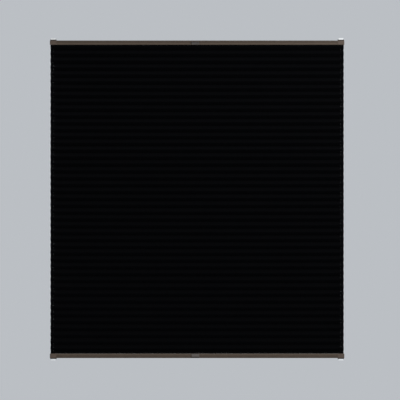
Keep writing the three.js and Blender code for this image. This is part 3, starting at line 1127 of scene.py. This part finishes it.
@dataclass
class Rail:
    """One sliding rail, shaped at the top and mirrored for the bottom."""

    frame: Frame
    name: str
    side_z: int
    wall: float = 1.2 * MM
    corner: float = 1.5 * MM
    lip: float = 0.35 * MM
    groove_corner: float = 0.2 * MM
    wall_corner: float = 0.3 * MM
    web_corner: float = 0.5 * MM
    throat: float = 12 * MM
    slot_gap: float = 8 * MM
    web_at: float = 7 * MM
    groove: Point2 = (1.4 * MM, 0.8 * MM)  # width and depth
    seat: float = 0.3 * MM
    cap_corner: float = 2 * MM
    cap_edge: float = 0.25 * MM
    cap_least_corner: float = 0.4 * MM
    cap_tongue: float = 15 * MM
    cord_inset: float = 14 * MM
    cord_hole: float = 1.5 * MM
    nose_pocket: Corner = (9.2 * MM, 1.4 * MM, 3.1 * MM)  # side, corner radius and depth
    strip_neck: float = 6 * MM
    strip_head: float = 2.5 * MM
    strip_corners: tuple[float, ...] = (0.4 * MM, 0.3 * MM, 0.4 * MM, 0.6 * MM)
    grip_root: float = 1.4 * MM
    grip_lip: float = 0.35 * MM
    grip_rib_gap: float = 0.6 * MM
    ridge: float = 0.18 * MM
    ridges: int = 8
    ridged: Span = (0.25, 0.875)  # the share of the face that has ridges
    spring_wire: float = 0.45 * MM
    spring_turns: int = 26
    turn_steps: int = 18
    eye_steps: int = 14
    eye_share: float = 0.9
    cord_radius: float = 0.6 * MM
    cord_rings: int = 60

    def build(self) -> None:
        """Builds and fits every piece of the rail."""
        for piece, maker in (
            ("rail_profile", self.profile),
            ("fabric_strip", self.strip),
            ("rail_grip", self.grip),
            ("tension_spring", self.spring),
        ):
            self.fit(maker(), piece)
        for side, side_x in (("left", -1), ("right", 1)):
            self.fit(self.end_cap(), f"{side}_end_cap", side_x)
            self.fit(self.crossing_cord(), f"{side}_crossing_cord", side_x)

    def fit(self, form: Form, piece: str, side_x: int = 1) -> None:
        """Mirrors a form into place and fits it."""
        self.frame.stand_in(form.mirrored(side_x, self.side_z), f"{self.name}_{piece}")

    @property
    def channel_mid(self) -> float:
        """The height that the crossing cord and the spring lie at."""
        return mid(spans("top_right_crossing_cord")[2])

    @property
    def middle(self) -> float:
        """The middle of the rail's depth."""
        return mid(spans("top_rail_profile")[1])

    def profile(self) -> Form:
        """The extruded section: a T-slot for the strip, and an open channel for the cords.

        Returns:
            the finished form.
        """
        x, (front, back), (inner, outer) = spans("top_rail_profile")
        wall, web = self.wall, inner + self.web_at
        low, high = about(web + wall / 2, self.groove[0])
        groove = [(front, low), (front + self.groove[1], low)]
        groove += [(y, high) for y, _ in reversed(groove)]
        throat, gap = self.middle - self.throat / 2, self.middle - self.slot_gap / 2
        channel = [
            (front, outer, self.corner),
            (throat, outer, self.lip),
            (throat, outer - wall, self.lip),
            (front + wall, outer - wall, self.wall_corner),
            (front + wall, web + wall, self.web_corner),
        ]
        slot = [
            (front + wall, web, self.web_corner),
            (front + wall, inner + wall, self.wall_corner),
            (gap, inner + wall, self.lip),
            (gap, inner, self.lip),
            (front, inner, self.corner),
        ]
        corners = [(y, z, self.groove_corner) for y, z in groove] + channel
        corners += [(front + back - y, z, r) for half in (channel, slot) for y, z, r in half[::-1]]
        return Form.prism("profile", Axis.X, filleted(corners + slot), x).shaded(50.0)

    def strip(self) -> Form:
        """The T-shaped strip that the fabric's end is bonded to.

        Returns:
            the finished form.
        """
        x, (front, back), (low, high) = spans("top_fabric_strip")
        neck = about(self.middle, self.strip_neck)[1]
        shoulder = high - self.strip_head
        half = [(neck, low), (neck, shoulder), (back, shoulder), (back, high)]
        corners = [(y, z, radius) for (y, z), radius in zip(half, self.strip_corners)]
        corners += [(front + back - y, z, radius) for y, z, radius in reversed(corners)]
        return Form.prism("strip", Axis.X, filleted(corners), x).shaded(50.0)

    def grip(self) -> Form:
        """The finger grip: a hollowed wedge with fine ridges near its lip.

        Returns:
            the finished form.
        """
        x, (tip, rib_back), (inner, outer) = spans("top_rail_grip")
        _, (front, _), (rail_inner, _) = spans("top_rail_profile")
        back, root = front - self.seat, self.grip_root
        web = rail_inner + self.web_at + self.wall / 2
        rib_low, rib_high = about(web, self.groove[0] - self.grip_rib_gap)
        aim = (back - 2 * root, outer - 3 * root)
        face, count = [], 5 * self.ridges
        for i, (y, z) in enumerate(curve((back - root, inner), aim, (tip, outer - root), count)):
            t = i / count
            on = self.ridged[0] < t < self.ridged[1]
            rise = self.ridge * math.sin(math.pi * self.ridges * t) ** 2 if on else 0.0
            face.append((y + rise, z, 0.0))
        lip, heel = (tip, outer - self.grip_lip), (back, outer)
        under = curve(lip, ((back + tip) / 2, outer - root), heel, 12)[1:]
        rib = [(back, rib_high, 0.0), (rib_back, rib_high, self.groove_corner / 2)]
        rib += [(y, rib_low, radius) for y, _, radius in reversed(rib)]
        corners = [*rib, (back, inner, 0.0), *face, *((y, z, 0.0) for y, z in under)]
        return Form.prism("grip", Axis.X, filleted(corners), x).soften(0.5 * MM, 4, 60.0)

    def spring(self) -> Form:
        """The close-wound spring that takes up the cord, with an eye at each end.

        Returns:
            the finished form.
        """
        x, y, _ = spans("top_tension_spring")
        radius = (y[1] - y[0]) / 2 - self.spring_wire
        room = 2 * (radius - self.spring_wire)
        start, end = x[0] + room, x[1] - room
        eye = radius * self.eye_share
        halves = [math.pi * i / self.eye_steps for i in range(self.eye_steps + 1)]
        path = self.eye(start - eye, eye, [1.5 * math.pi - a for a in halves[:-1]])
        steps = self.spring_turns * self.turn_steps
        for i in range(steps + 1):
            turn = 2 * math.pi * i / self.turn_steps
            y_at = self.middle + radius * math.sin(turn)
            z_at = self.channel_mid + radius * math.cos(turn)
            path.append(Vector((start + (end - start) * i / steps, y_at, z_at)))
        path += self.eye(end + eye, eye, [0.5 * math.pi - a for a in halves[1:]])
        return Form.tube("spring", path, self.spring_wire, 8).shaded(60.0)

    def eye(self, centre: float, radius: float, angles: Iterable[float]) -> list[Vector]:
        """The bend of an upright eye on the spring's axis.

        Args:
            centre: where the eye's centre is along X.
            radius: its radius.
            angles: the angles of its points.

        Returns:
            its points.
        """
        rounds = ((centre + radius * math.cos(a), radius * math.sin(a)) for a in angles)
        return [Vector((at, self.middle, self.channel_mid + rise)) for at, rise in rounds]

    def crossing_cord(self) -> Form:
        """The run of cord from the cap's upright hole to the spring.

        Returns:
            the finished form.
        """
        x, y, z = spans("top_right_crossing_cord")
        path = straight((x[0], mid(y), mid(z)), (x[1], mid(y), mid(z)), self.cord_rings)
        return Form.tube("cord", path, self.cord_radius, 12).shaded(60.0)

    def end_cap(self) -> Form:
        """The rounded cap, its tongue in the channel, and the cord's way through it.

        Returns:
            the finished form.
        """
        (tip, end), y, z = spans("top_right_end_cap")
        start = tip + self.cap_tongue
        rings = []
        for inset, at in self.cap_rounding(start, end):
            radius = max(self.corner - inset, self.cap_least_corner)
            sides = ((low + inset, high - inset) for low, high in (y, z))
            rings.append([(at, v, w) for v, w in rectangle(*sides, radius, 6)])
        cap = Form.loft("cap", rings)
        front, back = spans("top_rail_profile")[1]
        slack = self.wall + self.seat
        tongue_z = (z[0] + self.web_at + slack, z[1] - slack)
        cap.join(Form.block((tip, start + OVERCUT), (front + slack, back - slack), tongue_z))
        cord_x = end - self.cord_inset
        side, corner, depth = self.nose_pocket
        pocket = rectangle(about(cord_x, side), about(self.middle, side), corner)
        cap.cut(Form.prism("pocket", Axis.Z, pocket, (z[1] - depth, z[1] + OVERCUT)))
        upright, level = (cord_x, self.middle), (self.middle, self.channel_mid)
        cap.drill(Axis.Z, upright, self.cord_hole, (z[0] - OVERCUT, z[1]))
        cap.drill(Axis.X, level, self.cord_hole, (tip - OVERCUT, cord_x))
        return cap.soften(0.25 * MM)

    def cap_rounding(self, start: float, end: float) -> list[Point2]:
        """How far the cap's section is drawn in along its length.

        Args:
            start: where the cap meets the rail.
            end: its outer end.

        Returns:
            pairs of an inset and a place along X.
        """
        rings = [(self.cap_edge, start), (0.0, start + self.cap_edge)]
        for angle in (math.pi / 12 * i for i in range(7)):
            inset, back = (self.cap_corner * (1 - f(angle)) for f in (math.cos, math.sin))
            rings.append((inset, end - back))
        return rings


# ---- fabric and cords -----------------------------------------------------------------------


@dataclass
class PleatedSheet:
    """One stretch of the folded fabric, from the middle of a facet to the middle of another."""

    frame: Frame
    node: str
    joint: str
    pitch: float = 27.95 * MM
    facet: float = 20 * MM
    thickness: float = 0.35 * MM
    columns: int = 40
    edge_band: float = 3 * MM
    cord_from_edge: float = 12 * MM
    hole: Point2 = (0.85 * MM, 1.2 * MM)  # half its width and height
    crease: float = 0.045  # how much of a facet its round crease takes
    sag: float = 0.9 * MM
    crowding: float = 0.5 * MM
    jitter: float = 0.35 * MM
    flattened: float = 0.012
    wander: Point2 = (2.2, 3.7)  # how fast the folds stray, across and down
    ripple: Point2 = (6.0, 5.1)  # how fast their depth does
    seed: int = 7
    hole_row: float = 0.12
    rows: tuple[float, ...] = (0.4, 0.455, 0.5, 0.545, 0.6)  # in facets, about each fold

    def build(self, split: float, strip_end: float, strip: str) -> None:
        """Builds the sheet and puts it in its node's place.

        Args:
            split: the height where the two stretches of fabric meet.
            strip_end: the height of the rail's end of this stretch.
            strip: the piece that the rail's end is bonded to; not used.
        """
        x, y, z = spans(self.node)
        count = round((z[1] - z[0]) / self.pitch)
        form = self.woven(x, y, (max(strip_end, split), min(strip_end, split)), count)
        piece = self.frame.stand_in(form, self.node)
        travel = max(abs(limit) for limit in self.frame.joints[self.joint]["range_m"])
        keep = 1 - travel / abs(strip_end - split)
        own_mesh(piece)

    def woven(self, x: Span, y: Span, ends: Span, count: int) -> Form:
        """The folded sheet, with its thickness and the cords' holes.

        Args:
            x: its span across.
            y: its span from front to back.
            ends: the heights of its top and bottom.
            count: how many whole pleats it has.

        Returns:
            the finished form.
        """
        depth = math.sqrt(self.facet**2 - ((ends[0] - ends[1]) / (2 * count)) ** 2)
        rows, edges = self.rows_at(count), self.columns_at(x)
        place = (x[1], mid(y), depth)
        points = [self.point(s, across, count, ends, place) for s in rows for across in edges]
        faces = []
        width = len(edges)
        cord = x[1] - self.cord_from_edge
        for i, (above, below) in enumerate(zip(rows, rows[1:])):
            half_way = (above + below) / 2
            for j in range(width - 1):
                a = i * width + j
                quad = (a, a + 1, a + width + 1, a + width)
                if not edges[j] < math.copysign(cord, edges[j]) < edges[j + 1]:
                    faces.append(quad)
                elif abs(half_way - round(half_way)) < self.hole_row / 4:
                    faces += self.punched(points, quad)
                elif i == 0:
                    faces += self.notched(points, quad)
                elif i == len(rows) - 2:
                    faces += self.notched(points, (*quad[2:], *quad[:2]))
                else:
                    faces.append(quad)
        form = Form(self.node, points, faces)
        solidify = form.piece.modifiers.new("cloth", "SOLIDIFY")
        solidify.thickness = self.thickness
        solidify.offset = 0.0
        form.apply().piece.data.shade_smooth()
        return form

    def rows_at(self, count: int) -> list[float]:
        """Where the rows lie, in facets from the top of the stretch.

        Args:
            count: how many whole pleats the stretch has.

        Returns:
            the places, in order.
        """
        found = {0.0, float(2 * count)}
        for k in range(2 * count + 1):
            places = (k + row for row in (-self.hole_row, self.hole_row, *self.rows))
            found |= {round(place, 4) for place in places if 0 < place < 2 * count}
        return sorted(found)

    def columns_at(self, x: Span) -> list[float]:
        """Where the columns lie, with one square cell about each cord.

        Args:
            x: the sheet's span.

        Returns:
            the places, from left to right.
        """
        cell = self.hole_row * self.facet
        cord = x[1] - self.cord_from_edge
        inside = np.linspace(-(cord - 4 * cell), cord - 4 * cell, self.columns)
        ends = [x[0], x[0] + self.edge_band, -cord - cell, -cord + cell]
        return [*ends, *inside.tolist(), *[-e for e in reversed(ends)]]

    def wave(self, s: float) -> float:
        """Where the zigzag is, with a small round crease at each fold.

        Args:
            s: how many facets down the stretch.

        Returns:
            the place from front to back, from -1 to 1.
        """
        nearest = math.floor(s) + 0.5
        away = abs(s - nearest)
        side = -1 if round(nearest - 0.5) % 2 == 0 else 1
        c = self.crease
        return side * (1 - 2 * away if away > c else 1 - c - away**2 / c)

    def point(self, s: float, across: float, count: int, ends: Span, place: Point3) -> Point3:
        """One point of the sheet, a little off its even zigzag as real fabric is.

        Args:
            s: how many facets down the stretch.
            across: how far to the right.
            count: how many whole pleats the stretch has.
            ends: the heights of its top and bottom.
            place: half its width, the middle of its folds, and their depth.

        Returns:
            the point.
        """
        half, middle, depth = place
        share = s / (2 * count)
        held = 4 * share * (1 - share)
        fold = math.floor(s) + 0.5 if 0 < s < 2 * count else s
        wander, ripple = (
            noise.noise(Vector((across * along, fold * down + self.seed, layer)))
            for (along, down), layer in ((self.wander, 0.5), (self.ripple, 9.5))
        )
        drop = self.sag * (1 - (across / half) ** 2)
        drop += self.crowding * math.sin(2 * math.pi * share) - self.jitter * wander
        height = ends[0] + (ends[1] - ends[0]) * share - drop * held
        kept = 1 - self.flattened * held * (1 + ripple)
        return across, middle + self.wave(s) * depth / 2 * kept, height

    def hole_arc(
        self, points: list[Point3], middle: Vector, sides: Sequence[Vector], turns: Sequence[float]
    ) -> list[int]:
        """Adds points round a cord's hole.

        Args:
            points: the sheet's points, which gain them.
            middle: the hole's middle.
            sides: a way along the cell's first side, and a way down from it.
            turns: where the points are round the hole, in half turns.

        Returns:
            the new points' numbers.
        """
        across, down = (side.normalized() * half for side, half in zip(sides, self.hole))
        first = len(points)
        for angle in (math.pi * turn for turn in turns):
            points.append(tuple(middle + across * math.cos(angle) + down * math.sin(angle)))
        return list(range(first, len(points)))

    def punched(self, points: list[Point3], quad: Sequence[int]) -> list[tuple[int, ...]]:
        """A cell of the sheet with the cord's round hole punched in it.

        Args:
            points: the sheet's points, which gain the hole's.
            quad: the cell's corners.

        Returns:
            the faces between the cell's sides and the hole.
        """
        corners = [Vector(points[i]) for i in quad]
        sides = (corners[1] - corners[0], corners[3] - corners[0])
        count = 5
        turns = [1.25 + 0.5 * i / count for i in range(4 * count)]
        ring = self.hole_arc(points, sum(corners, Vector()) / 4, sides, turns)
        ring.append(ring[0])
        arcs = [ring[i * count : (i + 1) * count + 1] for i in range(4)]
        return [(quad[i], quad[(i + 1) % 4], *reversed(arc)) for i, arc in enumerate(arcs)]

    def notched(self, points: list[Point3], quad: Sequence[int]) -> list[tuple[int, ...]]:
        """A cell at a cut end of the sheet, with half of the cord's hole in its first side.

        Args:
            points: the sheet's points, which gain the notch's.
            quad: the cell's corners, the cut side's two first.

        Returns:
            the faces round the notch.
        """
        first, second, _, last = (Vector(points[i]) for i in quad)
        count = 4
        turns = [1 - i / (3 * count) for i in range(3 * count + 1)]
        sides = (second - first, last - first)
        ring = self.hole_arc(points, (first + second) / 2, sides, turns)
        arcs = [ring[i * count : (i + 1) * count + 1] for i in range(3)]
        return [(quad[3 - i], quad[(4 - i) % 4], *arc) for i, arc in enumerate(arcs)]


@dataclass
class UprightCords:
    """The two taut cords from shoe to shoe."""

    frame: Frame
    rings: int = 130
    sides: int = 12

    def build(self) -> None:
        """Builds and fits both cords."""
        for node in ("left_cord", "right_cord"):
            x, y, z = spans(node)
            path = straight((mid(x), mid(y), z[0]), (mid(x), mid(y), z[1]), self.rings)
            form = Form.tube(node, path, (x[1] - x[0]) / 2, self.sides)
            self.frame.stand_in(form.shaded(60.0), node)


# ---- studio ---------------------------------------------------------------------------------


@dataclass(frozen=True)
class Lamp:
    """A square area light that looks at the blind's middle: its place, side and power."""

    name: str
    place: Point3
    size: float
    power: float

    def build(self) -> None:
        """Hangs the lamp."""
        data = bpy.data.lights.new(self.name, "AREA")
        data.size = self.size
        data.energy = self.power
        hang(self.name, data, self.place, -Vector(self.place))


def hang(name: str, data: bpy.types.Light, place: Point3, along: Vector) -> None:
    """Puts a light in the scene.

    Args:
        name: the light's name.
        data: the light itself.
        place: where it is.
        along: the way that it shines.
    """
    light = bpy.data.objects.new(name, data)
    light.location = place
    light.rotation_euler = along.to_track_quat("-Z", "Y").to_euler()
    bpy.context.scene.collection.objects.link(light)


@dataclass
class Studio:
    """A pale floor, soft lights and a camera straight in front of the blind."""

    view_width: float = 1.6295
    distance: float = 7.0
    centre_right: float = 0.0118
    centre_low: float = 0.0029
    sensor: float = 36.0
    floor_drop: float = 0.95
    floor_radius: float = 3.1
    floor_tones: tuple[Rgb, Rgb] = ((0.60, 0.62, 0.65), (0.66, 0.68, 0.71))
    pale: Rgb = (0.497, 0.521, 0.552)
    key_power: float = 2.0
    key_angle: float = 14.0
    key_along: Point3 = (-0.42, 0.70, -0.58)
    lamps: tuple[Lamp, ...] = (
        Lamp("near", (1.7, -1.3, 1.0), 0.9, 21.0),
        Lamp("back", (0.8, 2.6, 2.0), 2.2, 44.0),
    )

    def build(self) -> None:
        """Sets up everything that isn't the blind."""
        bpy.context.scene.view_settings.view_transform = "Standard"
        self.camera()
        self.world()
        self.floor()
        self.key()
        for lamp in self.lamps:
            lamp.build()

    def camera(self) -> None:
        """The camera, level and straight on, with the blind a little left of the middle."""
        low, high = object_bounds()
        middle = (low + high) / 2
        plane = spans("top_rail_profile")[1][0]
        data = bpy.data.cameras.new("camera")
        data.sensor_width = self.sensor
        data.lens = self.sensor * self.distance / self.view_width
        camera = bpy.data.objects.new("camera", data)
        camera.location.x = middle.x + self.centre_right
        camera.location.y = plane - self.distance
        camera.location.z = middle.z - self.centre_low
        camera.rotation_euler.x = math.pi / 2
        bpy.context.scene.collection.objects.link(camera)
        bpy.context.scene.camera = camera

    def world(self) -> None:
        """An even pale surround."""
        world = bpy.data.worlds.new("surround")
        world.use_nodes = True
        background = world.node_tree.nodes["Background"]
        background.inputs["Color"].default_value = (*self.pale, 1.0)
        background.inputs["Strength"].default_value = 1.0
        bpy.context.scene.world = world

    def floor(self) -> None:
        """A round pale floor, well below the blind."""
        low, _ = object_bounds()
        height = low.z - self.floor_drop
        outline = [(x, y, height) for x, y in circle(self.floor_radius, 96)]
        mesh = bpy.data.meshes.new("floor")
        mesh.from_pydata(outline, [], [tuple(range(len(outline)))])
        floor = bpy.data.objects.new("floor", mesh)
        bpy.context.scene.collection.objects.link(floor)
        shader = Shader("floor_pale")
        tint = shader.mixed(shader.speckle(2.0, 4.0), *self.floor_tones)
        shader.set(Base_Color=tint, Roughness=0.9)
        mesh.materials.append(shader.material)
        floor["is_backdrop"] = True

    def key(self) -> None:
        """A broad, even key light from the upper right."""
        data = bpy.data.lights.new("key", "SUN")
        data.energy = self.key_power
        data.angle = math.radians(self.key_angle)
        hang("key", data, (0.0, 0.0, 0.0), Vector(self.key_along))


def main() -> None:
    """Builds the blind's looks in order, then the studio, and logs how many pieces stand for the
    CAD nodes.
    """
    logging.basicConfig(level=logging.INFO, format="%(message)s")
    frame = Frame()
    for name, side_x, side_z in (
        ("upper_left", -1, 1),
        ("upper_right", 1, 1),
        ("lower_left", -1, -1),
        ("lower_right", 1, -1),
    ):
        ClampCorner(frame, name, side_x, side_z).build()
    for name, side_z in (("top", 1), ("bottom", -1)):
        Rail(frame, name, side_z).build()
    upper, lower = spans("upper_pleats")[2], spans("lower_pleats")[2]
    split = (upper[0] + lower[1]) / 2
    upper_sheet = PleatedSheet(frame, "upper_pleats", "top_rail_slide")
    upper_sheet.build(split, upper[1], "top_fabric_strip_fine")
    lower_sheet = PleatedSheet(frame, "lower_pleats", "bottom_rail_slide", seed=31)
    lower_sheet.build(split, lower[0], "bottom_fabric_strip_fine")
    UprightCords(frame).build()
    Studio().build()
    LOG.info("%d pieces stand for %d CAD nodes", frame.made, len(frame.nodes))


if __name__ == "__main__":
    main()
